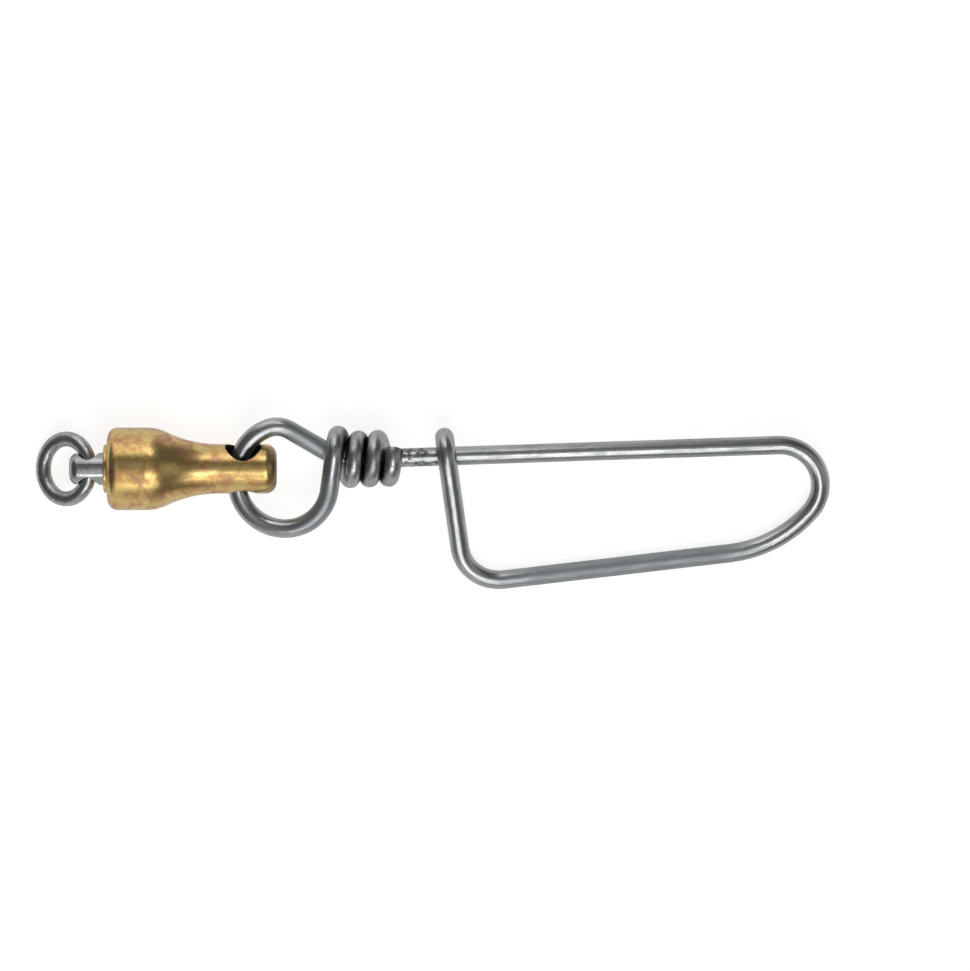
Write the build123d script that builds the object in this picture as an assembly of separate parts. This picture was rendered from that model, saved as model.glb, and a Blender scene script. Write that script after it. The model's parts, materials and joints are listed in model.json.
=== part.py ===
from build123d import *
from math import acos, asin, atan2, cos, degrees, pi, radians, sin, sqrt, tan
import os

# A snap swivel for fishing line, in millimetres and degrees. A ball-bearing swivel of turned brass
# has a plain line ring on its rotating stem at one end (-X), and a wire snap in the cross hole of
# its neck at the other (+X). It lies on its side as it comes to rest: the barrel, the line ring
# and the lower leg of the snap touch the ground.

# ---- Driving sizes: the snap, bent from one length of spring wire ----
snap_wire_d = 1.5
eye_r = 3.77                # centreline of the eye
eye_straight = 0.7          # at the back of the eye, between its two half rounds
eye_offset = 0.8            # shaft axis beside the centre of the eye
lead_angle = 32.5           # straight lead from the eye down to the shaft
lead_reach = 3.1            # lead to the centre of the eye
lead_bend_r = 1.2           # where the lead meets the shaft
eye_shoulder_r = 2.0        # tighter bend between the lead and the eye
coil_start = 3.92           # first crossing over the shaft, from the centre of the eye
coil_turns = 3.1
coil_over_lead = 0.45       # first half turn beyond the others, to clear the end of the lead
coil_space = 0.03           # between one turn and the next
wrap_gap = 0.04             # between the shaft and what is wound or hooked round it
hook_at = 13.0              # hook crossing, from the centre of the eye
loop_length = 26.55         # hook crossing to the start of the far bend
far_bend_r = 3.3
far_bend_turn = 132.0
return_bend_r = 9.9         # wider bend between the far bend and the lower leg
leg_splay = 4.85            # lower leg against the shaft
corner_r = 3.2
arm_lean = 6.1
hook_past = 12.0            # hook beyond the middle of its far side
hook_tip_round = 0.3

# ---- Driving sizes: the turned barrel ----
neck_d = 3.95
neck_wall = 1.2             # cross hole to the domed end
neck_round = 0.9
wire_play = 0.68            # round the wire in the cross hole
cross_hole_round = 0.05
flare_from = 2.0            # cross hole to the start of the flare
flare_r = 9.5
flare_angle = 26.0
barrel_d = 6.6
barrel_length = 13.5        # domed end to the crimped mouth
barrel_wall = 0.75
crimp_round = 0.8
lip_t = 0.5
lip_hold = 0.55             # crimped lip over the edge of the cap
cavity_round = 0.3

# ---- Driving sizes: the pieces in the barrel's mouth ----
ball_count = 12
ball_space = 0.04           # between neighbouring balls
ball_clearance = 0.04       # balls to the wall of the cavity
groove_depth = 0.12         # races in the head and in the washer
race_clearance = 0.02
cap_t = 1.0
collar_out = 0.3            # collar of the cap beyond the lip
collar_clearance = 0.08
washer_t = 0.4
fit_clearance = 0.02        # cap and washer in the barrel
running_clearance = 0.05    # stem in the cap
washer_clearance = 0.1
head_clearance = 0.1
head_t = 1.0
head_float = 0.3            # head to the bottom of the cavity

# ---- Driving sizes: the stem and the line ring ----
stem_d = 2.6
line_hole_from = 1.3        # collar to the axis of the line ring's hole
ring_play = 0.25            # round the line ring's wire in its hole
line_hole_round = 0.15
stem_wall = 0.6             # hole to the domed tip
stem_dome = 0.7
ring_wire_d = 1.2
ring_r = 2.4                # centreline

# ---- Driving sizes: how it lies ----
snap_yaw = 1.8              # shaft turned in the plane of the snap
eye_drop = 0.22             # centre of the eye below the barrel's axis, across it
eye_clearance = 0.08        # eye's wire to the wall of the cross hole
barrel_roll = 23.0          # cross hole against the ground

# ---- Worked out from the sizes above ----
wire_r = snap_wire_d / 2
wrap_r = snap_wire_d + wrap_gap
coil_pitch = sqrt((snap_wire_d + coil_space) ** 2 + (snap_wire_d / 8) ** 2)
loop_end = hook_at + loop_length
neck_r = neck_d / 2
cross_hole_r = wire_r + wire_play
neck_reach = cross_hole_r + neck_wall
barrel_r = barrel_d / 2
cavity_r = barrel_r - barrel_wall
lip_r = cavity_r - lip_hold
ball_spread = 1 / sin(pi / ball_count)
ball_r = (cavity_r - ball_clearance - ball_space / 2 * ball_spread) / (ball_spread + 1)
race_r = cavity_r - ball_clearance - ball_r
stem_r = stem_d / 2
ring_wire_r = ring_wire_d / 2
line_hole_r = ring_wire_r + ring_play
mouth_x = neck_reach - barrel_length
cap_x = mouth_x + lip_t
washer_x = cap_x + cap_t
race_x = washer_x + washer_t
ball_x = race_x + ball_r - groove_depth
head_x = ball_x + ball_r - groove_depth
cavity_x = head_x + head_t + head_float
line_hole_x = mouth_x - collar_out - line_hole_from
ring_seat = ring_r - sqrt(ring_r ** 2 - stem_r ** 2)
ring_back = ring_r - ring_seat / 2


def up(angle, length=1.0):
    """A vector in the flat plane of the snap."""
    return Vector(length * cos(radians(angle)), length * sin(radians(angle)), 0)


def bend(before, corner, after, radius):
    """The arc that rounds a corner of the wire, with its two ends."""
    to_before = (before - corner).normalized()
    to_after = (after - corner).normalized()
    half = to_before.get_angle(to_after) / 2
    reach = radius / tan(radians(half))
    middle = (to_before + to_after).normalized() * (radius / sin(radians(half)) - radius)
    start = corner + to_before * reach
    end = corner + to_after * reach
    return ThreePointArc(start, corner + middle, end), start, end


def coil_lead():
    """The tangent slope of the coil, from its pitch."""
    return degrees(atan2(coil_pitch, 2 * pi * wrap_r))


def coil_cross():
    """Where the wire first crosses over the shaft, and the coil starts."""
    return Vector(coil_start, eye_offset + coil_over_lead, wrap_r)


def bend_centres():
    """Centres of the far bend and of the return bend, from the centre of the eye."""
    far_centre = Vector(loop_end, eye_offset - far_bend_r, 0)
    return_centre = far_centre - up(90 - far_bend_turn, return_bend_r - far_bend_r)
    return far_centre, return_centre


def lower_leg_start():
    """Where the lower leg leaves the return bend."""
    return bend_centres()[1] + up(leg_splay - 90, return_bend_r)


def hook_and_loop():
    """From the tip of the hook round the loop, up to the lead: pieces of the centreline."""
    shaft_cross = Vector(hook_at, eye_offset, 0)
    far_angle = 90 - far_bend_turn
    leg_angle = leg_splay - 90
    far_centre, return_centre = bend_centres()
    leg_start = lower_leg_start()
    leg_way = up(180 + leg_splay)
    arm_way = up(90 + arm_lean)

    # The lower leg and the arm meet at a corner, and the arm rises from it over the shaft.
    gap = shaft_cross - leg_start
    along_leg = gap.cross(arm_way).Z / leg_way.cross(arm_way).Z
    corner = leg_start + leg_way * along_leg
    arm_length = (shaft_cross - corner).length
    rise = asin(wrap_r / arm_length)

    def round_hook(angle):
        return shaft_cross + arm_way * (wrap_r * cos(angle)) + Vector(0, 0, wrap_r * sin(angle))

    hook_from = pi / 2 + rise
    hook_to = -pi / 2 - radians(hook_past)
    hook_foot = round_hook(hook_from)
    hook_tip = round_hook(hook_to)
    hook = ThreePointArc(hook_tip, round_hook((hook_from + hook_to) / 2), hook_foot)
    corner_arc, arm_end, leg_end = bend(hook_foot, corner, leg_start, corner_r)
    arm = Line(hook_foot, arm_end)
    lower_leg = Line(leg_end, leg_start)
    return_bend = CenterArc(return_centre, return_bend_r, leg_angle, far_angle - leg_angle)
    far_bend = CenterArc(far_centre, far_bend_r, far_angle, far_bend_turn)
    return [hook, arm, corner_arc, lower_leg, return_bend, far_bend]


def lead_and_eye():
    """From the shaft through the lead and round the eye: pieces of the centreline."""
    normal = up(90 - lead_angle)
    foot_at = (lead_reach - eye_offset * cos(radians(lead_angle))) / sin(radians(lead_angle))
    lead_foot = Vector(foot_at, eye_offset, 0)
    shaft_end = Vector(loop_end, eye_offset, 0)

    # The shoulder touches the lead on its outside and the eye from within.
    open_angle = degrees(acos((lead_reach - eye_shoulder_r) / (eye_r - eye_shoulder_r)))
    join_angle = 90 - lead_angle + open_angle
    shoulder_centre = up(join_angle, eye_r - eye_shoulder_r)
    lead_top = shoulder_centre + normal * eye_shoulder_r
    lead_bend, lead_start, lead_low = bend(shaft_end, lead_foot, lead_top, lead_bend_r)
    shaft = Line(shaft_end, lead_start)
    lead = Line(lead_low, lead_top)
    shoulder = CenterArc(shoulder_centre, eye_shoulder_r, 90 - lead_angle, open_angle)

    # The eye is flat to its back. There it runs straight along the lead of the coil, and its other
    # half tips up about that line, so that it comes round level with the top of the shaft.
    back_angle = 180 - coil_lead()
    back = up(back_angle, eye_r)
    flat_eye = CenterArc((0, 0, 0), eye_r, join_angle, back_angle - join_angle)
    across = up(-coil_lead())
    along = up(90 - coil_lead())
    low_back = back - along * eye_straight
    back_line = Line(back, low_back)
    gap = coil_cross() - low_back
    side = low_back + across * gap.dot(across) + Vector(0, 0, wrap_r)
    middle = (low_back + side) / 2
    tipped_eye = ThreePointArc(low_back, middle - along * (side - middle).length, side)
    rise = Line(side, coil_cross())
    return [shaft, lead_bend, lead, shoulder, flat_eye, back_line, tipped_eye, rise]


def sweep_wire(path):
    """Wire along a path of arcs and straights."""
    section = Plane(origin=path @ 0, z_dir=path % 0) * Circle(wire_r)
    return sweep(section, path=path)


def wind(start, turns, start_way):
    """Turns of the coil from a point of its axis, starting on that side of the shaft."""
    winding = Plane(origin=start, x_dir=start_way, z_dir=(1, 0, 0))
    turn_path = winding * Helix(coil_pitch, coil_pitch * turns, wrap_r, lefthand=True)
    section = Plane(origin=turn_path @ 0, z_dir=turn_path % 0) * Circle(wire_r)
    return sweep(section, path=turn_path, is_frenet=True), turn_path @ 1


def make_coil():
    """The first half turn rides out over the lead, and the others sit close round the shaft."""
    over_start = Vector(coil_start, eye_offset + coil_over_lead, 0)
    over_lead, over_end = wind(over_start, 0.5, (0, 0, 1))
    back_in = up(coil_lead() - 90, coil_over_lead / cos(radians(coil_lead())))
    under = sweep_wire(Line(over_end, over_end + back_in))
    close_start = Vector(over_end.X + back_in.X, eye_offset, 0)
    close_turns, _ = wind(close_start, coil_turns - 0.5, (0, 0, -1))
    return over_lead + under + close_turns


def make_snap_wire():
    """The whole snap in its own plane, with the centre of the eye at the origin."""
    path = Wire([piece.edge() for piece in hook_and_loop() + lead_and_eye()])
    bent = sweep_wire(path)
    tip = bent.faces().filter_by(GeomType.PLANE).sort_by_distance(path @ 0)[0]
    return fillet(tip.edges(), hook_tip_round) + make_coil()


def make_barrel():
    """The turned body, its axis along X and its cross hole along Y through the origin."""
    flare_rise = 1 - cos(radians(flare_angle))
    flare_run = sin(radians(flare_angle))
    flare_end = (-flare_from - flare_r * flare_run, neck_r + flare_r * flare_rise)
    shoulder_r = (barrel_r - flare_end[1]) / flare_rise
    shoulder_end = (flare_end[0] - shoulder_r * flare_run, barrel_r)
    flare_centre = (-flare_from, neck_r + flare_r)
    shoulder_centre = (shoulder_end[0], barrel_r - shoulder_r)
    with BuildPart() as barrel:
        with BuildSketch(Plane.XZ):
            with BuildLine():
                Line((neck_reach, 0), (neck_reach, neck_r - neck_round))
                CenterArc((neck_reach - neck_round, neck_r - neck_round), neck_round, 0, 90)
                Line((neck_reach - neck_round, neck_r), (-flare_from, neck_r))
                CenterArc(flare_centre, flare_r, 270, -flare_angle)
                CenterArc(shoulder_centre, shoulder_r, 90 - flare_angle, flare_angle)
                Line(shoulder_end, (mouth_x + crimp_round, barrel_r))
                CenterArc((mouth_x + crimp_round, barrel_r - crimp_round), crimp_round, 90, 90)
                Polyline(
                    (mouth_x, barrel_r - crimp_round),
                    (mouth_x, lip_r),
                    (cap_x, lip_r),
                    (cap_x, cavity_r),
                    (cavity_x - cavity_round, cavity_r),
                )
                CenterArc((cavity_x - cavity_round, cavity_r - cavity_round), cavity_round, 90, -90)
                Polyline((cavity_x, cavity_r - cavity_round), (cavity_x, 0), (neck_reach, 0))
            make_face()
        revolve(axis=Axis.X)
        Cylinder(cross_hole_r, barrel_d, rotation=(90, 0, 0), mode=Mode.SUBTRACT)
        fillet(barrel.edges().filter_by(GeomType.BSPLINE), cross_hole_round)
    return barrel.part


def make_end_cap():
    """Brass cap in the mouth, with a collar that fills the lip and carries the stem."""
    bore_r = stem_r + running_clearance
    collar_r = lip_r - collar_clearance
    with BuildPart() as cap:
        with BuildSketch(Plane.XZ):
            with BuildLine():
                Polyline(
                    (mouth_x - collar_out, bore_r),
                    (mouth_x - collar_out, collar_r),
                    (cap_x, collar_r),
                    (cap_x, cavity_r - fit_clearance),
                    (washer_x, cavity_r - fit_clearance),
                    (washer_x, bore_r),
                    close=True,
                )
            make_face()
        revolve(axis=Axis.X)
        rim = cap.edges().group_by(Axis.X)[0].sort_by(SortBy.LENGTH)[-1]
        fillet(rim, collar_clearance)
    return cap.part


def race_groove():
    """The round of a race, as a ring about the barrel's axis."""
    around = Location((ball_x, 0, 0), (0, 90, 0))
    return around * Torus(race_r, ball_r + race_clearance)


def make_race_washer():
    """Hardened washer against the cap, with the fixed race for the balls."""
    bore_r = stem_r + washer_clearance
    disc = Cylinder(cavity_r - fit_clearance, washer_t) - Cylinder(bore_r, washer_t)
    disc = Location((washer_x + washer_t / 2, 0, 0), (0, 90, 0)) * disc
    return disc - race_groove()


def make_balls():
    """The loose balls, evenly round the race."""
    balls = {}
    for number in range(ball_count):
        angle = 2 * pi * number / ball_count
        place = Location((ball_x, race_r * cos(angle), race_r * sin(angle)))
        balls[f"ball_{number + 1:02d}"] = place * Sphere(ball_r)
    return balls


def make_stem():
    """Headed stem with a domed tip and the cross hole for the line ring."""
    tip_x = line_hole_x - line_hole_r - stem_wall
    with BuildPart() as stem:
        with BuildSketch(Plane.XZ):
            with BuildLine():
                Line((tip_x, 0), (tip_x, stem_r - stem_dome))
                CenterArc((tip_x + stem_dome, stem_r - stem_dome), stem_dome, 180, -90)
                Polyline(
                    (tip_x + stem_dome, stem_r),
                    (head_x, stem_r),
                    (head_x, cavity_r - head_clearance),
                    (head_x + head_t, cavity_r - head_clearance),
                    (head_x + head_t, 0),
                    (tip_x, 0),
                )
            make_face()
        revolve(axis=Axis.X)
        with Locations(Location((line_hole_x, 0, 0), (90, 0, 0))):
            Cylinder(line_hole_r, barrel_d, mode=Mode.SUBTRACT)
        fillet(stem.edges().filter_by(GeomType.BSPLINE), line_hole_round)
    return stem.part - race_groove()


def make_line_ring():
    """Plain closed ring that hangs from the stem's hole down to the ground."""
    far_edge = ring_back + ring_r
    droop = degrees(asin((barrel_r - ring_wire_r) / far_edge))
    ring = Pos(-ring_back, 0, 0) * Torus(ring_r, ring_wire_r)
    return Pos(line_hole_x, 0, 0) * Rot(0, -droop, 0) * ring


def lay_snap(snap):
    """Put the eye in the cross hole and let the lower leg down to the ground."""
    slack = wire_play - eye_clearance
    eye_back = eye_r + eye_straight * sin(radians(coil_lead()))
    in_hole = Pos(eye_back - slack, -eye_drop, 0) * Rot(0, 0, snap_yaw)
    leg_line = up(leg_splay + snap_yaw)
    reach = leg_line.cross((in_hole * Pos(lower_leg_start())).position).length
    tilt = degrees(asin((barrel_r - wire_r) / reach))
    return (in_hole * snap).rotate(Axis((0, 0, 0), leg_line), tilt)


nodes = {
    "snap_wire": lay_snap(make_snap_wire()),
    "barrel": Rot(barrel_roll, 0, 0) * make_barrel(),
    "end_cap": make_end_cap(),
    "race_washer": make_race_washer(),
    "stem": make_stem(),
    "line_ring": make_line_ring(),
}
nodes.update(make_balls())

# The origin is on the ground below the middle of the whole.
whole = Compound(children=[piece.solid() for piece in nodes.values()]).bounding_box()
cross_hole_at = Vector(-whole.center().X, -whole.center().Y, barrel_r)
os.makedirs("parts", exist_ok=True)
for name, piece in nodes.items():
    export_step(Pos(cross_hole_at) * piece.solid(), f"parts/{name}.step")

print("cross hole at", cross_hole_at, "rolled", barrel_roll)
print("line ring hole at", cross_hole_at + Vector(line_hole_x, 0, 0))
print("size", whole.size)
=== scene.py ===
import bmesh
import bpy
import json
from math import acos, asin, atan2, cos, pi, radians, sin, sqrt, tan
from mathutils import Matrix, Vector


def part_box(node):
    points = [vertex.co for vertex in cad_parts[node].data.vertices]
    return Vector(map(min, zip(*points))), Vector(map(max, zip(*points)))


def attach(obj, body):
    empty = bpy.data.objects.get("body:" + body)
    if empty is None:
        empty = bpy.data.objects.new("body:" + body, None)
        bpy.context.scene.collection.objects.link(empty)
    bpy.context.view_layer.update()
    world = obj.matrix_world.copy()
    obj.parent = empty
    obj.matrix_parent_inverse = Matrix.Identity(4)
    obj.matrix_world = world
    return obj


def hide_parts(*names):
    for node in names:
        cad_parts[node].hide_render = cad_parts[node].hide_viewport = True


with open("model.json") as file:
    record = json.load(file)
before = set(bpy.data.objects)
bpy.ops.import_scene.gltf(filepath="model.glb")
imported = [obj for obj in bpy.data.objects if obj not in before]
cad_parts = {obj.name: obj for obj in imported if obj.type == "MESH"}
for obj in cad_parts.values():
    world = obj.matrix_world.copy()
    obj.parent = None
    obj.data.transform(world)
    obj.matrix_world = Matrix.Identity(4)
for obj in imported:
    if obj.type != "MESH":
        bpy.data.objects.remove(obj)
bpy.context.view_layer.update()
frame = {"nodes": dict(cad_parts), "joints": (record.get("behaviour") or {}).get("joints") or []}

MM = 0.001
joints = {joint["name"]: joint for joint in frame["joints"]}
cross_hole = Vector(joints["snap_swing"]["pos_m"])
line_hole = Vector(joints["line_ring_swing"]["pos_m"])

# ---- The snap's wire, as a maker's drawing gives it, in metres and radians ----
WIRE_R = 0.75 * MM
EYE_R = 3.77 * MM
EYE_STRAIGHT = 0.7 * MM         # at the back of the eye, between its two half rounds
EYE_OFFSET = 0.8 * MM           # shaft axis beside the centre of the eye
LEAD_ANGLE = radians(32.5)
LEAD_REACH = 3.1 * MM
LEAD_BEND_R = 1.2 * MM
SHOULDER_R = 2.0 * MM
COIL_START = 3.92 * MM
COIL_TURNS = 3.1
COIL_OVER_LEAD = 0.45 * MM      # first half turn beyond the others
COIL_SPACE = 0.03 * MM
WRAP_GAP = 0.04 * MM
HOOK_AT = 13.0 * MM
LOOP_LENGTH = 26.55 * MM
FAR_BEND_R = 3.3 * MM
FAR_BEND_TURN = radians(132)
RETURN_BEND_R = 9.9 * MM
LEG_SPLAY = radians(4.85)
CORNER_R = 3.2 * MM
ARM_LEAN = radians(6.1)
HOOK_PAST = radians(12)
TIP_ROUND = 0.3 * MM
WRAP_R = 2 * WIRE_R + WRAP_GAP
COIL_PITCH = sqrt((2 * WIRE_R + COIL_SPACE) ** 2 + (2 * WIRE_R / 8) ** 2)
COIL_SLOPE = atan2(COIL_PITCH, 2 * pi * WRAP_R)

# ---- How the snap lies in the cross hole ----
HOLE_SLACK = 0.60 * MM
EYE_DROP = 0.22 * MM
SNAP_YAW = radians(1.8)
BARREL_ROLL = radians(23)
NECK_HOLE_R = 1.43 * MM         # the cross hole itself

SECTION_SIDES = 40              # facets round the wire
STEP = radians(5)               # of a bend


def up(angle, length=1.0):
    """A vector in the flat plane of the snap."""
    return Vector((length * cos(angle), length * sin(angle), 0))


def bend_centres():
    """Centres of the far bend and of the return bend, from the centre of the eye."""
    far_centre = Vector((HOOK_AT + LOOP_LENGTH, EYE_OFFSET - FAR_BEND_R, 0))
    return far_centre, far_centre - up(pi / 2 - FAR_BEND_TURN, RETURN_BEND_R - FAR_BEND_R)


def lower_leg_start():
    """Where the lower leg leaves the return bend."""
    return bend_centres()[1] + up(LEG_SPLAY - pi / 2, RETURN_BEND_R)


class WireBender:
    """A round wire that grows from its tip, by straights and bends, as on a bending jig. Each
    point keeps its place on the wire before it was bent, for patterns that follow the wire."""

    def __init__(self, start, way, radius):
        self.mesh = bmesh.new()
        self.unbent = self.mesh.verts.layers.float_vector.new("unbent_wire")
        self.centre = start.copy()
        self.turn = way.to_track_quat("Z", "X").to_matrix()
        self.along = 0.0
        self.radius = radius
        place = Matrix.Translation(start) @ self.turn.to_4x4()
        made = bmesh.ops.create_circle(
            self.mesh, cap_ends=False, segments=SECTION_SIDES, radius=radius, matrix=place
        )
        self.ring = made["verts"]
        self.mark()

    def way(self):
        return self.turn.col[2].copy()

    def mark(self):
        """Notes where the newest ring of points lies on the straight wire."""
        back = self.turn.transposed()
        for point in self.ring:
            flat = back @ (point.co - self.centre)
            point[self.unbent] = (self.along, flat.x, flat.y)

    def edges(self):
        inside = set(self.ring)
        found = {edge for point in self.ring for edge in point.link_edges}
        return [edge for edge in found if all(point in inside for point in edge.verts)]

    def step(self, centre, axis, angle, shift, length):
        """One short bend or straight: the newest ring is carried on and joined by faces."""
        made = bmesh.ops.spin(
            self.mesh,
            geom=self.edges(),
            cent=centre,
            axis=axis,
            dvec=shift,
            angle=angle,
            steps=1,
            use_merge=False,
            use_duplicate=False,
        )
        self.ring = [item for item in made["geom_last"] if isinstance(item, bmesh.types.BMVert)]
        spin = Matrix.Rotation(angle, 3, axis)
        self.centre = centre + spin @ (self.centre - centre) + shift
        self.turn = spin @ self.turn
        self.along += length
        self.mark()

    def straight(self, end):
        """To a point dead ahead."""
        reach = end - self.centre
        steps = max(1, round(reach.length / (0.8 * MM)))
        for _ in range(steps):
            self.step(self.centre, self.way(), 0.0, reach / steps, reach.length / steps)

    def bend(self, centre, angle, axis, shift=Vector((0, 0, 0))):
        """Round a centre by an angle, with a steady shift along the axis for a coil."""
        steps = max(2, round(abs(angle) / STEP))
        arm = self.centre - centre
        sweep = sqrt((arm.length * angle) ** 2 + shift.length ** 2)
        for number in range(steps):
            pivot = centre + shift * (number / steps)
            self.step(pivot, axis, angle / steps, shift / steps, sweep / steps)

    def corner(self, point, beyond, radius):
        """Round a corner of the wire: a straight up to the bend, and the bend itself."""
        to_before = (self.centre - point).normalized()
        to_after = (beyond - point).normalized()
        half = to_before.angle(to_after) / 2
        self.straight(point + to_before * (radius / tan(half)))
        centre = point + (to_before + to_after).normalized() * (radius / sin(half))
        self.bend(centre, pi - 2 * half, to_after.cross(to_before).normalized())

    def close(self):
        """A flat face across the newest ring."""
        bmesh.ops.contextual_create(self.mesh, geom=self.edges())

    def round_tip(self, rounding):
        """From a small flat out to the full wire, round a quarter of a circle."""
        self.close()
        slices = 5
        place = 0.0
        radius = self.radius
        for number in range(1, slices + 1):
            angle = pi / 2 * number / slices
            ahead = rounding * (1 - cos(angle)) - place
            wider = WIRE_R - rounding * (1 - sin(angle))
            self.step(self.centre, self.way(), 0.0, self.way() * ahead, ahead)
            space = Matrix.Translation(-self.centre)
            scale = Vector((1, 1, 1)) * wider / radius
            bmesh.ops.scale(self.mesh, vec=scale, space=space, verts=self.ring)
            self.mark()
            place += ahead
            radius = wider

    def finish(self, name, place):
        """The finished piece, with smooth sides and crisp cut faces, laid in its place."""
        bmesh.ops.recalc_face_normals(self.mesh, faces=self.mesh.faces)
        for face in self.mesh.faces:
            face.smooth = len(face.verts) == 4
        for edge in self.mesh.edges:
            edge.smooth = all(face.smooth for face in edge.link_faces)
        self.mesh.transform(place)
        made = bpy.data.meshes.new(name)
        self.mesh.to_mesh(made)
        self.mesh.free()
        piece = bpy.data.objects.new(name, made)
        bpy.context.scene.collection.objects.link(piece)
        return piece


def bend_snap():
    """The snap in its own flat plane, from the tip of the hook to the cut end of the coil.
    Returns its bender, where its stretches start on the straight wire, and which way across
    the wire the next turn of the coil lies."""
    arm_way = up(pi / 2 + ARM_LEAN)
    rise = Vector((0, 0, 1))
    shaft_cross = Vector((HOOK_AT, EYE_OFFSET, 0))
    far_centre, return_centre = bend_centres()
    leg_start = lower_leg_start()
    leg_way = up(pi + LEG_SPLAY)
    along_leg = (shaft_cross - leg_start).cross(arm_way).z / leg_way.cross(arm_way).z
    heel = leg_start + leg_way * along_leg
    hook_from = pi / 2 + asin(WRAP_R / (heel - shaft_cross).length)
    starts = {}

    # The hook comes up from its tip, over the shaft and back down to the arm.
    hook_turn = hook_from + pi / 2 + HOOK_PAST - TIP_ROUND / WRAP_R
    tip_angle = hook_from - hook_turn
    round_start = shaft_cross + (arm_way * cos(tip_angle) + rise * sin(tip_angle)) * WRAP_R
    tip_way = rise * cos(tip_angle) - arm_way * sin(tip_angle)
    wire = WireBender(round_start - tip_way * TIP_ROUND, tip_way, WIRE_R - TIP_ROUND)
    wire.round_tip(TIP_ROUND)
    wire.bend(shaft_cross, hook_turn, arm_way.cross(rise))
    starts["arm"] = wire.along
    wire.corner(heel, leg_start, CORNER_R)
    starts["leg"] = wire.along
    wire.straight(leg_start)
    starts["return"] = wire.along
    wire.bend(return_centre, pi - FAR_BEND_TURN - LEG_SPLAY, rise)
    wire.bend(far_centre, FAR_BEND_TURN, rise)
    starts["shaft"] = wire.along

    # The shaft runs back under the hook and through the coil, to the lead of the eye.
    lead_normal = up(pi / 2 - LEAD_ANGLE)
    foot_at = (LEAD_REACH - EYE_OFFSET * cos(LEAD_ANGLE)) / sin(LEAD_ANGLE)
    open_angle = acos((LEAD_REACH - SHOULDER_R) / (EYE_R - SHOULDER_R))
    join_angle = pi / 2 - LEAD_ANGLE + open_angle
    shoulder_centre = up(join_angle, EYE_R - SHOULDER_R)
    lead_top = shoulder_centre + lead_normal * SHOULDER_R
    starts["hook_on_shaft"] = wire.along + LOOP_LENGTH
    wire.corner(Vector((foot_at, EYE_OFFSET, 0)), lead_top, LEAD_BEND_R)
    starts["lead"] = wire.along
    wire.straight(lead_top)
    wire.bend(shoulder_centre, open_angle, rise)

    # The eye goes flat to its back, and its other half tips up to the top of the shaft.
    across = up(-COIL_SLOPE)
    along = up(pi / 2 - COIL_SLOPE)
    wire.bend(Vector((0, 0, 0)), pi - COIL_SLOPE - join_angle, rise)
    wire.straight(wire.centre - along * EYE_STRAIGHT)
    crossing = Vector((COIL_START, EYE_OFFSET + COIL_OVER_LEAD, WRAP_R))
    chord = across * (crossing - wire.centre).dot(across) + rise * WRAP_R
    wire.bend(wire.centre + chord / 2, pi, chord.cross(along).normalized())
    wire.straight(crossing)
    starts["coil"] = wire.along
    coil_side = wire.turn.transposed() @ Vector((1, 0, 0))

    # The first half turn rides out over the lead. The others sit close, and the end is sheared.
    round_shaft = Vector((-1, 0, 0))
    advance = Vector((COIL_PITCH, 0, 0))
    wire.bend(Vector((COIL_START, crossing.y, 0)), pi, round_shaft, advance * 0.5)
    wire.straight(wire.centre + wire.way() * (COIL_OVER_LEAD / cos(COIL_SLOPE)))
    close_start = Vector((wire.centre.x, EYE_OFFSET, 0))
    close_turns = COIL_TURNS - 0.5
    wire.bend(close_start, 2 * pi * close_turns, round_shaft, advance * close_turns)
    wire.close()
    starts["end"] = wire.along
    return wire, starts, coil_side


def snap_place():
    """The eye hangs in the cross hole, and the lower leg comes down to the ground."""
    eye_back = EYE_R + EYE_STRAIGHT * sin(COIL_SLOPE)
    in_hole = Matrix.Translation((eye_back - HOLE_SLACK, -EYE_DROP, 0))
    in_hole = in_hole @ Matrix.Rotation(SNAP_YAW, 4, "Z")
    leg_line = up(LEG_SPLAY + SNAP_YAW)
    reach = leg_line.cross(in_hole @ lower_leg_start()).length
    tilt = asin((cross_hole.z - WIRE_R) / reach)
    return Matrix.Translation(cross_hole) @ Matrix.Rotation(tilt, 4, leg_line) @ in_hole


# ---- Finishes ----


def linear(colour):
    """An sRGB hex colour as linear light, with a full alpha."""
    parts = [int(colour[at:at + 2], 16) / 255 for at in (1, 3, 5)]
    light = [((part + 0.055) / 1.055) ** 2.4 if part > 0.04045 else part / 12.92 for part in parts]
    return (*light, 1.0)


def add(tree, kind, inputs=(), **settings):
    """A node with its settings, and its sockets set or linked."""
    made = tree.nodes.new(kind)
    for setting, value in settings.items():
        setattr(made, setting, value)
    for socket, value in dict(inputs).items():
        if isinstance(value, bpy.types.NodeSocket):
            tree.links.new(value, made.inputs[socket])
        else:
            made.inputs[socket].default_value = value
    return made


def work_out(tree, operation, *values):
    """The result of one operation on two or three values."""
    return add(tree, "ShaderNodeMath", enumerate(values), operation=operation).outputs[0]


def span(tree, value, low, high, out_low=0.0, out_high=1.0):
    """A value carried from one range to another, clamped."""
    ranged = add(tree, "ShaderNodeMapRange", {
        "Value": value,
        "From Min": low,
        "From Max": high,
        "To Min": out_low,
        "To Max": out_high,
    })
    return ranged.outputs["Result"]


def stretch(tree, along, start, end, fade, amount):
    """An amount on one stretch of the wire, which fades in and out at its ends."""
    comes = span(tree, along, start, start + fade, 0.0, amount)
    goes = span(tree, along, end - fade, end, 1.0, 0.0)
    return work_out(tree, "MULTIPLY", comes, goes)


def join(tree, **parts):
    """A place from its parts."""
    return add(tree, "ShaderNodeCombineXYZ", parts).outputs["Vector"]


def distance(tree, place):
    """The distance of a place from the origin."""
    return add(tree, "ShaderNodeVectorMath", {0: place}, operation="LENGTH").outputs["Value"]


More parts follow.
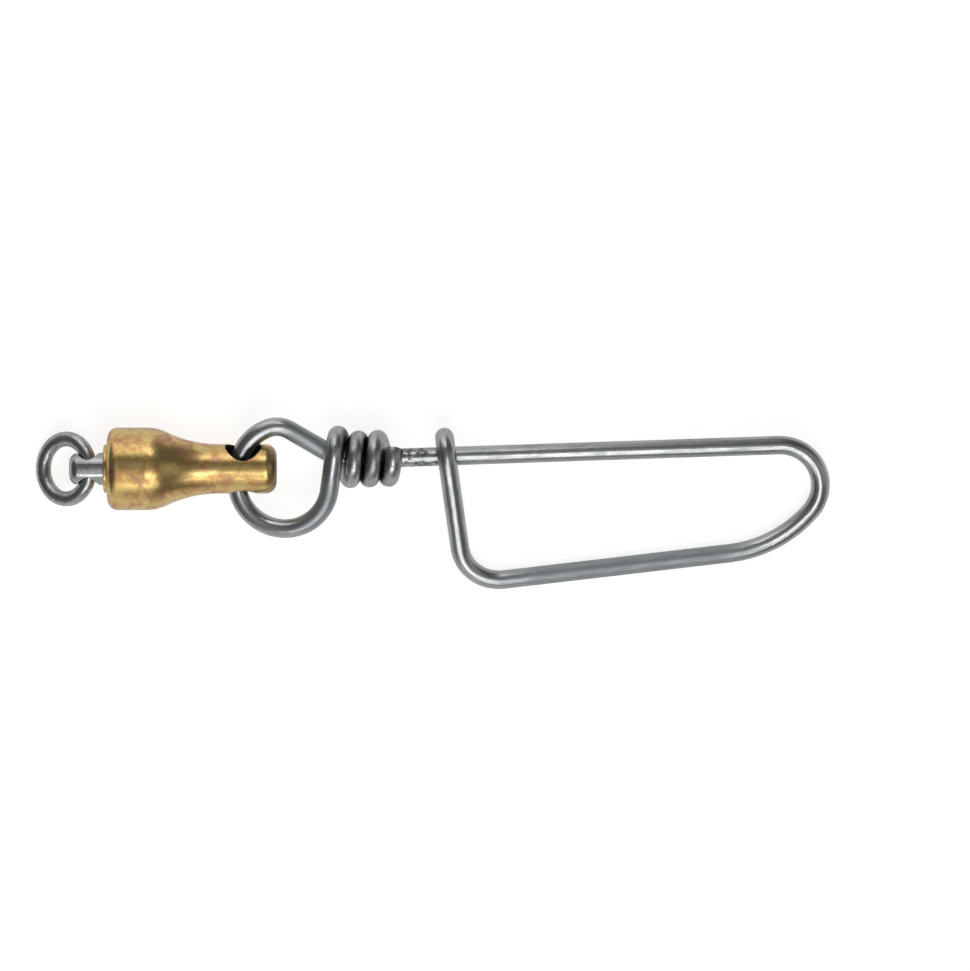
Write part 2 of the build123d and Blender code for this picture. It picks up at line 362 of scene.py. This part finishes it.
def seen_from(tree, point):
    """The place on the object, with the origin moved to a point."""
    place = add(tree, "ShaderNodeTexCoord").outputs["Object"]
    moved = add(tree, "ShaderNodeVectorMath", {0: place, 1: point}, operation="SUBTRACT")
    return moved.outputs["Vector"]


def scaled(tree, place, scale):
    """A place measured in cells of a pattern, which can be longer than they are wide."""
    return add(tree, "ShaderNodeMapping", {"Vector": place, "Scale": scale}).outputs["Vector"]


def noise(tree, place, scale, detail, roughness=0.6, distortion=0.0):
    """Soft noise round 0.5, with more and finer layers for more detail."""
    made = add(tree, "ShaderNodeTexNoise", {
        "Vector": place,
        "Scale": scale,
        "Detail": detail,
        "Roughness": roughness,
        "Distortion": distortion,
    })
    return made.outputs["Fac"]


def blend(tree, amount, first, second):
    """A colour between two colours."""
    inputs = {"Factor": amount, "A": first, "B": second}
    return add(tree, "ShaderNodeMix", inputs, data_type="RGBA").outputs["Result"]


def start_metal(name):
    """An empty material, its node tree and its shader, which is bare metal."""
    finish = bpy.data.materials.new(name)
    finish.use_nodes = True
    tree = finish.node_tree
    tree.nodes.clear()
    shader = add(tree, "ShaderNodeBsdfPrincipled")
    add(tree, "ShaderNodeOutputMaterial", {"Surface": shader.outputs["BSDF"]})
    shader.inputs["Metallic"].default_value = 1.0
    return finish, tree, shader


def end_metal(tree, shader, colour, rough, relief, strength, depth):
    """The colour, the roughness and the fine relief go to the shader."""
    bump = add(tree, "ShaderNodeBump", {
        "Strength": strength,
        "Distance": depth,
        "Height": relief,
    })
    tree.links.new(colour, shader.inputs["Base Color"])
    tree.links.new(rough, shader.inputs["Roughness"])
    tree.links.new(bump.outputs["Normal"], shader.inputs["Normal"])


def spring_wire_finish(starts, coil_side):
    """Stainless spring wire, drawn bright: long fine draw lines and thin grey patches of drawing
    soap, dull scuffs where the coiling pins and the hook have rubbed it, paler matt stretches
    where jaws held it, and painted shade on the sides of the coil's turns that face each other."""
    finish, tree, shader = start_metal("drawn_stainless_spring_wire")
    wire = add(tree, "ShaderNodeAttribute", attribute_name="unbent_wire").outputs["Vector"]
    along = add(tree, "ShaderNodeSeparateXYZ", {"Vector": wire}).outputs["X"]

    # Draw lines are about 0.02 mm apart, too fine to show, so they are drawn 0.07 mm apart.
    line_cells = (1 / (6 * MM), 1 / (0.07 * MM), 1 / (0.07 * MM))
    lines = noise(tree, scaled(tree, wire, line_cells), 1.0, 3.0)

    # Soap film: patches about 0.5 mm round the wire and 2 mm along it.
    film_cells = (1 / (2.0 * MM), 1 / (0.5 * MM), 1 / (0.5 * MM))
    film = noise(tree, scaled(tree, wire, film_cells), 1.0, 4.0, 0.65, 0.4)

    # Pin scuffs: marks about 0.4 mm, thick on the shaft where the pin turned, faint on the coil.
    scuffs = noise(tree, wire, 1 / (0.4 * MM), 3.0)
    worked_from = starts["hook_on_shaft"]
    worked_to = starts["lead"]
    rubbed = stretch(tree, along, worked_from, worked_to + 1.5 * MM, 0.8 * MM, 1.0)
    wound = span(tree, along, starts["coil"], starts["coil"] + 2 * MM, 0.0, 0.25)
    worked = work_out(tree, "MAXIMUM", rubbed, wound)
    scuffed = work_out(tree, "MULTIPLY", span(tree, scuffs, 0.48, 0.60), worked)

    # The lower leg, the lead and the rise of the eye were held in jaws, which left them matt.
    leg_from = starts["leg"] - 1.0 * MM
    leg_to = starts["return"] + 3.0 * MM
    rise_from = starts["coil"] - 7.0 * MM
    rise_to = starts["coil"] - 1.2 * MM
    leg = stretch(tree, along, leg_from, leg_to, 4.0 * MM, 1.0)
    lead = stretch(tree, along, worked_to, worked_to + 5.2 * MM, 1.2 * MM, 0.6)
    rise = stretch(tree, along, rise_from, rise_to, 1.2 * MM, 0.6)
    matt = work_out(tree, "ADD", work_out(tree, "ADD", lead, rise), leg)
    dragged = work_out(tree, "MULTIPLY", span(tree, lines, 0.35, 0.65, 0.5, 1.0), matt)

    # Painted shade darkens the sides of the turns of the coil that face each other.
    one_turn = 2 * pi * WRAP_R
    across = add(tree, "ShaderNodeVectorMath", {
        0: wire,
        1: Vector((0, coil_side.x, coil_side.y)) / WIRE_R,
    }, operation="DOT_PRODUCT").outputs["Value"]
    has_next = stretch(tree, along, starts["coil"], starts["end"] - one_turn, 1.0 * MM, 0.9)
    has_last = stretch(tree, along, starts["coil"] + one_turn, starts["end"], 1.0 * MM, 0.9)
    ahead = work_out(tree, "MULTIPLY", has_next, span(tree, across, 0.45, 0.85))
    recess_shade = work_out(tree, "MULTIPLY_ADD", has_last, span(tree, across, -0.45, -0.85), ahead)

    # The sheared end is matt and a little warm, with the grain of the break.
    sheared = span(tree, along, starts["end"] - 0.02 * MM, starts["end"])

    colour = blend(tree, span(tree, film, 0.46, 0.72), linear("#C9CBCC"), linear("#A5A9AA"))
    colour = blend(tree, scuffed, colour, linear("#7C7E80"))
    colour = blend(tree, dragged, colour, linear("#B9BFC1"))
    # Painted shade between the turns of the coil.
    colour = blend(tree, recess_shade, colour, linear("#2C2D2E"))
    colour = blend(tree, sheared, colour, linear("#D8D6C4"))
    filmed = span(tree, film, 0.35, 0.75, 0.26, 0.37)
    rough = work_out(tree, "ADD", filmed, span(tree, lines, 0.3, 0.7, -0.04, 0.06))
    rough = work_out(tree, "MULTIPLY_ADD", matt, 0.28, rough)
    rough = work_out(tree, "MULTIPLY_ADD", scuffed, 0.18, rough)
    relief = work_out(tree, "MULTIPLY_ADD", scuffed, -0.4, lines)
    end_metal(tree, shader, colour, rough, relief, 0.35, 0.006 * MM)
    return finish


def about_axis(tree, point, roll=0.0):
    """The place on a turned piece with the origin at a point of its axis and the roll taken out,
    the same in parts, and its distance from the axis."""
    placed = add(tree, "ShaderNodeVectorRotate", {
        "Vector": seen_from(tree, point),
        "Angle": -roll,
    }, rotation_type="X_AXIS").outputs["Vector"]
    parts = add(tree, "ShaderNodeSeparateXYZ", {"Vector": placed})
    radius = distance(tree, join(tree, Y=parts.outputs["Y"], Z=parts.outputs["Z"]))
    return placed, parts, radius


def tool_marks(tree, parts, radius, pitch, detail):
    """Rings left by the lathe tool, which run round the axis on sides and faces alike."""
    along = work_out(tree, "MULTIPLY", parts.outputs["X"], 1 / pitch)
    out = work_out(tree, "MULTIPLY", radius, 1 / pitch)
    return noise(tree, join(tree, X=along, Y=out), 1.0, detail, 0.55)


def brass_finish(name, roll, tarnish, hole_r=0.0):
    """Free-cutting brass, turned and left bare: fine tool rings under a thin tarnish that goes
    from straw yellow to red brown and olive, with painted shade on the dome and in the hole.
    A film of oil takes the colour out of its highlights."""
    finish, tree, shader = start_metal(name)
    place, parts, radius = about_axis(tree, cross_hole, roll)

    # The tool's feed is about 0.05 mm a turn, too fine to show, so the rings are 0.12 mm apart.
    rings = tool_marks(tree, parts, radius, 0.12 * MM, 4.0)

    # Tarnish creeps in soft patches of 1 to 2 mm, with a fine mottle of 0.3 mm in them.
    creep = noise(tree, place, 1 / (1.5 * MM), 5.0, 0.6, 0.6)
    mottle = noise(tree, place, 1 / (0.3 * MM), 3.0)
    tone = add(tree, "ShaderNodeValToRGB", {"Fac": creep})
    stops = tone.color_ramp.elements
    stops[0].position = 0.36
    stops[0].color = linear("#F9DA8C")
    stops[1].position = 0.70
    stops[1].color = linear("#C2AA4E")
    for at, shade in ((0.48, "#F2CA7C"), (0.57, "#DEAA6C"), (0.63, "#C49678")):
        stop = stops.new(at)
        stop.color = linear(shade)
    colour = blend(tree, tarnish, linear("#F2CC7C"), tone.outputs["Color"])
    speckle = span(tree, mottle, 0.5, 0.75, 0.0, 0.45 * tarnish)
    colour = blend(tree, speckle, colour, linear("#A48C4A"))
    rough = span(tree, creep, 0.4, 0.7, 0.27, 0.27 + 0.15 * tarnish)

    if hole_r:
        # Painted shade darkens the wall of the hole, and the dome round its far side.
        bore_r = distance(tree, join(tree, X=parts.outputs["X"], Z=parts.outputs["Z"]))
        recess_shade = span(tree, bore_r, hole_r + 0.01 * MM, hole_r + 0.12 * MM, 1.0, 0.0)
        dome_from = hole_r + 0.35 * MM
        dome = span(tree, parts.outputs["X"], dome_from, dome_from + 0.9 * MM, 0.0, 0.85)
        hole_and_dome_shade = work_out(tree, "MAXIMUM", recess_shade, dome)
        # Painted shade in the hole and on the dome, which is also rougher.
        colour = blend(tree, hole_and_dome_shade, colour, linear("#4A4220"))
        rough = work_out(tree, "MULTIPLY_ADD", hole_and_dome_shade, 0.18, rough)

    shader.inputs["Coat Weight"].default_value = 0.8
    shader.inputs["Coat Roughness"].default_value = 0.22
    end_metal(tree, shader, colour, rough, rings, 0.5, 0.006 * MM)
    return finish


def turned_steel_finish(name, pitch, bright, dull, roughness):
    """Stainless steel off the lathe or the grinder: fine rings round the axis, with a faint
    change of tone from ring to ring."""
    finish, tree, shader = start_metal(name)
    place, parts, radius = about_axis(tree, cross_hole)
    rings = tool_marks(tree, parts, radius, pitch, 3.0)
    smudge = noise(tree, place, 1 / (0.9 * MM), 4.0)
    colour = blend(tree, span(tree, smudge, 0.4, 0.7), linear(bright), linear(dull))
    smudged = span(tree, smudge, 0.35, 0.7, roughness, roughness + 0.10)
    rough = work_out(tree, "ADD", smudged, span(tree, rings, 0.3, 0.7, -0.03, 0.04))
    end_metal(tree, shader, colour, rough, rings, 0.4, 0.004 * MM)
    return finish


def ring_finish():
    """Drawn stainless wire, bent round and welded shut: the draw lines follow the ring, with
    grey patches of soap film, and they break at the weld."""
    finish, tree, shader = start_metal("drawn_stainless_ring_wire")
    low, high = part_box("line_ring")
    centre = (low + high) / 2
    back = centre - line_hole
    place = seen_from(tree, centre)
    level = add(tree, "ShaderNodeVectorRotate", {
        "Vector": place,
        "Angle": atan2(-back.z, -back.x),
    }, rotation_type="Y_AXIS").outputs["Vector"]
    parts = add(tree, "ShaderNodeSeparateXYZ", {"Vector": level}).outputs
    out = distance(tree, join(tree, X=parts["X"], Y=parts["Y"]))
    turn = work_out(tree, "ARCTAN2", parts["Y"], parts["X"])

    # The ring is 2.4 mm in radius: lines 6 mm long and 0.07 mm apart, patches of 0.4 mm.
    line_cells = (2.4 / 6, 1 / (0.07 * MM), 1 / (0.07 * MM))
    round_ring = join(tree, X=turn, Y=out, Z=parts["Z"])
    lines = noise(tree, scaled(tree, round_ring, line_cells), 1.0, 3.0)
    film = noise(tree, place, 1 / (0.4 * MM), 4.0)
    colour = blend(tree, span(tree, film, 0.42, 0.7), linear("#C9CBCC"), linear("#A2A6A7"))
    filmed = span(tree, film, 0.35, 0.7, 0.26, 0.36)
    rough = work_out(tree, "ADD", filmed, span(tree, lines, 0.3, 0.7, -0.03, 0.05))
    end_metal(tree, shader, colour, rough, lines, 0.35, 0.006 * MM)
    return finish


def dress(node, finish):
    """A better material in the slots of a CAD node."""
    for slot in frame["nodes"][node].material_slots:
        slot.material = finish


wire, starts, coil_side = bend_snap()
snap = wire.finish("bent_snap_wire", snap_place())
snap.data.materials.append(spring_wire_finish(starts, coil_side))
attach(snap, "snap")
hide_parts("snap_wire")

dress("barrel", brass_finish("turned_brass_body", BARREL_ROLL, 1.0, NECK_HOLE_R))
dress("end_cap", brass_finish("turned_brass_cap", 0.0, 0.6))
ground = turned_steel_finish("ground_steel_race", 0.10 * MM, "#B4B6B9", "#96999C", 0.24)
turned = turned_steel_finish("turned_stainless_stem", 0.12 * MM, "#C4C6C7", "#A4A7A8", 0.22)
lapped = turned_steel_finish("lapped_bearing_steel", 0.05 * MM, "#CDD0D3", "#BEC2C6", 0.06)
dress("race_washer", ground)
dress("stem", turned)
dress("line_ring", ring_finish())
for name in frame["nodes"]:
    if name.startswith("ball_"):
        dress(name, lapped)


# ---- Floor, light and camera ----


def looked_at(tree):
    """The light paths, and 1 where the camera looks at a thing straight or through glass."""
    paths = add(tree, "ShaderNodeLightPath").outputs
    return paths, work_out(tree, "MAXIMUM", paths["Is Camera Ray"], paths["Is Transmission Ray"])


def make_floor():
    """A pale sheet of card below the snap swivel, lifted to white where it is seen."""
    bm = bmesh.new()
    bmesh.ops.create_grid(bm, x_segments=1, y_segments=1, size=1.0)
    made = bpy.data.meshes.new("floor")
    bm.to_mesh(made)
    bm.free()
    floor = bpy.data.objects.new("floor", made)
    bpy.context.scene.collection.objects.link(floor)
    finish = bpy.data.materials.new("pale_card")
    finish.use_nodes = True
    tree = finish.node_tree
    tree.nodes.clear()
    paths, seen = looked_at(tree)
    mirrored = work_out(tree, "MULTIPLY", paths["Is Glossy Ray"], 0.27)

    # Round the object the card shows the shadow. Further out, where the lamps fade, it is white.
    away = distance(tree, add(tree, "ShaderNodeTexCoord").outputs["Object"])
    lift = work_out(tree, "MULTIPLY_ADD", seen, span(tree, away, 0.07, 0.16, 0.74, 1.0), mirrored)
    card = add(tree, "ShaderNodeBsdfDiffuse", {"Color": linear("#E8E8E6")}).outputs["BSDF"]
    glow = add(tree, "ShaderNodeEmission", {"Color": linear("#FFFFFF"), "Strength": lift})
    lifted = add(tree, "ShaderNodeAddShader", {0: card, 1: glow.outputs["Emission"]})
    add(tree, "ShaderNodeOutputMaterial", {"Surface": lifted.outputs["Shader"]})
    floor.data.materials.append(finish)


def make_softbox(name, place, aim, wide, deep, radiance, long_side=Vector((1, 0, 0))):
    """A rectangular soft lamp that faces a point of the object, with its width along a given
    way. Its cloth is as bright as given, where 1 is white paper in the scene, and only the
    object mirrors it: the camera looks through it."""
    lamp = bpy.data.lights.new(name, "AREA")
    lamp.shape = "RECTANGLE"
    lamp.size = wide
    lamp.size_y = deep
    lamp.energy = pi * wide * deep * radiance
    holder = bpy.data.objects.new(name, lamp)
    holder.location = place
    back = (place - aim).normalized()
    side = (long_side - back * long_side.dot(back)).normalized()
    turn = Matrix((side, back.cross(side), back)).transposed()
    holder.rotation_euler = turn.to_euler()
    holder.visible_camera = False
    bpy.context.scene.collection.objects.link(holder)


def make_world():
    """Dim grey air round the object, white where the camera looks past the floor."""
    world = bpy.data.worlds.new("studio")
    world.use_nodes = True
    tree = world.node_tree
    tree.nodes.clear()
    air = blend(tree, looked_at(tree)[1], linear("#505153"), linear("#FFFFFF"))
    glow = add(tree, "ShaderNodeBackground", {"Color": air, "Strength": 1.0})
    add(tree, "ShaderNodeOutputWorld", {"Surface": glow.outputs["Background"]})
    bpy.context.scene.world = world


def make_camera(centre, field):
    """Straight down on the snap swivel, through a long lens."""
    height = 0.5
    lens = bpy.data.cameras.new("camera")
    lens.sensor_width = 36.0
    lens.lens = lens.sensor_width * (height - centre.z) / field
    lens.clip_start = 0.01
    holder = bpy.data.objects.new("camera", lens)
    holder.location = (centre.x, centre.y, height)
    bpy.context.scene.collection.objects.link(holder)
    bpy.context.scene.camera = holder


make_floor()
make_world()

# Two keys: a long lamp beside the object, and a strip that runs up to the zenith over the snap.
middle = cross_hole + Vector((19.28 * MM, -1.33 * MM, 0))
key_aim = cross_hole + Vector((0.020, 0, 0))
make_softbox("side_key", key_aim + Vector((0, -0.181, 0.170)), key_aim, 0.190, 0.052, 3.0)
strip_from = cross_hole + Vector((0.015, -0.120, 0.205))
strip_to = cross_hole + Vector((0.062, -0.062, 0.232))
strip_way = strip_to - strip_from
strip_at = (strip_from + strip_to) / 2
make_softbox("strip_key", strip_at, middle, strip_way.length, 0.090, 3.0, strip_way)

# On the far side, a lamp for the snap and the brass and a small bright one for the coil.
left_aim = middle + Vector((-0.045, 0, 0))
make_softbox("left_softbox", left_aim + Vector((0, 0.097, 0.071)), left_aim, 0.090, 0.055, 0.80)
coil_at = cross_hole + Vector((0.010, 0, 0))
make_softbox("coil_softbox", coil_at + Vector((0, 0.092, 0.082)), coil_at, 0.016, 0.030, 3.0)

# Dim fills from above, past the far bend, and low on both sides of the barrel.
far_left = middle + Vector((-0.085, 0, 0))
make_softbox("top_fill", middle + Vector((0.0, 0.0, 0.62)), middle, 0.42, 0.42, 0.18)
make_softbox("right_fill", middle + Vector((0.16, 0.0, 0.10)), middle, 0.20, 0.12, 0.25)
make_softbox("back_fill", far_left + Vector((0.0, 0.20, 0.055)), far_left, 0.19, 0.11, 0.75)
make_softbox("front_fill", far_left + Vector((0.0, -0.20, 0.055)), far_left, 0.19, 0.11, 0.42)

make_camera(middle, 77.6 * MM)
bpy.context.scene.view_settings.view_transform = "Standard"
